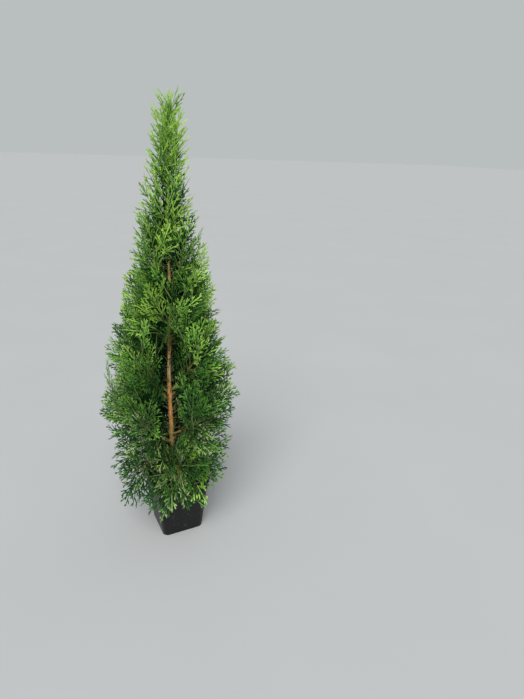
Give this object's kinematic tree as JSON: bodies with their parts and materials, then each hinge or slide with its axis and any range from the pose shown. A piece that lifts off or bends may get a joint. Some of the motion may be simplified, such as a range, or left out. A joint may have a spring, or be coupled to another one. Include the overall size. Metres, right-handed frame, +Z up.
{
  "type": "potted thuja",
  "caption": "Young evergreen thuja with a slim pointed outline of flat fern-like sprays, in a square tapered nursery pot.",
  "frame": {"origin": "middle of the pot's flat underside, which is also the point the plant stands on", "axes": "+Z up along the plant from the pot's underside to its leading shoot; X and Y run along the pot's square sides"},
  "size_m": [0.2033, 0.2013, 0.6632],
  "materials": {
    "pot": "satin",
    "compost": "matte",
    "bark": "matte",
    "bough_bark": "matte",
    "foliage": "satin"
  },
  "bodies": {
    "root": {"pot": "pot", "compost": "compost", "trunk": "bark", "bough_skirt_1": "bough_bark", "foliage_skirt_1": "foliage", "bough_skirt_2": "bough_bark", "foliage_skirt_2": "foliage", "bough_skirt_3": "bough_bark", "foliage_skirt_3": "foliage", "bough_skirt_4": "bough_bark", "foliage_skirt_4": "foliage", "bough_skirt_5": "bough_bark", "foliage_skirt_5": "foliage", "bough_lower_1": "bough_bark", "foliage_lower_1": "foliage", "bough_lower_2": "bough_bark", "foliage_lower_2": "foliage", "bough_lower_3": "bough_bark", "foliage_lower_3": "foliage", "bough_lower_4": "bough_bark", "foliage_lower_4": "foliage", "bough_lower_5": "bough_bark", "foliage_lower_5": "foliage", "bough_lower_6": "bough_bark", "foliage_lower_6": "foliage", "bough_middle_1": "bough_bark", "foliage_middle_1": "foliage", "bough_middle_2": "bough_bark", "foliage_middle_2": "foliage", "bough_middle_3": "bough_bark", "foliage_middle_3": "foliage", "bough_middle_4": "bough_bark", "foliage_middle_4": "foliage", "bough_middle_5": "bough_bark", "foliage_middle_5": "foliage", "bough_upper_1": "bough_bark", "foliage_upper_1": "foliage", "bough_upper_2": "bough_bark", "foliage_upper_2": "foliage", "bough_upper_3": "bough_bark", "foliage_upper_3": "foliage", "bough_upper_4": "bough_bark", "foliage_upper_4": "foliage", "bough_upper_5": "bough_bark", "foliage_upper_5": "foliage", "foliage_high_1": "foliage", "foliage_high_2": "foliage", "foliage_high_3": "foliage", "foliage_high_4": "foliage", "foliage_crest_1": "foliage", "foliage_crest_2": "foliage", "foliage_crest_3": "foliage", "foliage_spire_1": "foliage", "foliage_spire_2": "foliage", "foliage_spire_3": "foliage", "foliage_leader": "foliage"}
  },
  "joints": []
}
